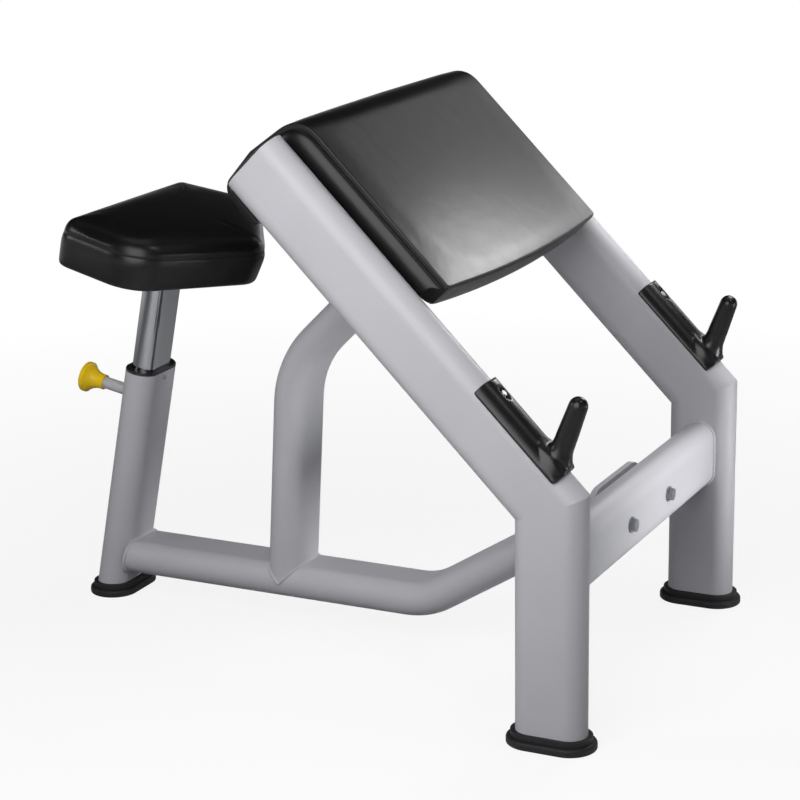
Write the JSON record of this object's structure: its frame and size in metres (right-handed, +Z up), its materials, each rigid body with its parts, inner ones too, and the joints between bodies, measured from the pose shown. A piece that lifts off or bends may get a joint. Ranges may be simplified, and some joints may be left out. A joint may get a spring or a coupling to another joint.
{
  "type": "preacher curl bench",
  "caption": "Free-standing preacher curl bench with a flat-oval steel frame, a wrap-over arm pad, moulded bar rests and a height-adjustable seat.",
  "frame": {"origin": "centre of the bench's outline on the floor", "axes": "+X across the bench, +Y from the bar rests toward the seat, +Z up"},
  "size_m": [0.81, 1.1557, 0.9674],
  "materials": {
    "frame_paint": "satin silver-grey powder coat",
    "chrome": "polished chrome plate",
    "black_vinyl": "fine-grained glossy black vinyl",
    "black_rubber": "matte black rubber",
    "black_plastic": "satin black plastic",
    "moulded_black": "glossy moulded black urethane",
    "yellow_plastic": "glossy yellow plastic",
    "plywood": "raw plywood",
    "zinc_steel": "zinc-plated steel"
  },
  "bodies": {
    "frame": {"arm_board": "plywood", "arm_pad": "black_vinyl", "beam_spacers": "zinc_steel", "bushing_screw": "zinc_steel", "chest_board": "plywood", "cross_beam": "frame_paint", "flange_bolts": "zinc_steel", "flange_nuts": "zinc_steel", "flange_washers": "zinc_steel", "foot_left": "black_rubber", "foot_rear": "black_rubber", "foot_right": "black_rubber", "leg_left": "frame_paint", "leg_right": "frame_paint", "pad_bolts": "zinc_steel", "pad_cross_tube": "frame_paint", "pad_strap_left": "frame_paint", "pad_strap_right": "frame_paint", "pad_tnuts": "zinc_steel", "pin_barrel": "frame_paint", "pin_spring": "zinc_steel", "post_bushing": "black_plastic", "post_sleeve": "frame_paint", "rail_cap_left": "black_plastic", "rail_cap_right": "black_plastic", "rail_left": "frame_paint", "rail_right": "frame_paint", "rest_left": "moulded_black", "rest_nuts": "zinc_steel", "rest_right": "moulded_black", "rest_screws": "zinc_steel", "spine_flange": "frame_paint", "spine_tube": "frame_paint", "upright_tube": "frame_paint"},
    "seat": {"seat_post": "chrome", "post_glide": "black_plastic", "seat_plate": "frame_paint", "seat_board": "plywood", "seat_cushion": "black_vinyl", "seat_bolts": "zinc_steel", "seat_tnuts": "zinc_steel"},
    "pin": {"plunger": "zinc_steel", "knob": "yellow_plastic"}
  },
  "joints": [
    {"name": "seat_height", "type": "slide", "parent": "frame", "child": "seat", "axis": [0, -0.1908, 0.9816], "range_m": [-0.15, 0.03]},
    {"name": "pin_pull", "type": "slide", "parent": "frame", "child": "pin", "axis": [0, 0.9816, 0.1908], "range_m": [-0.009, 0.009]}
  ]
}
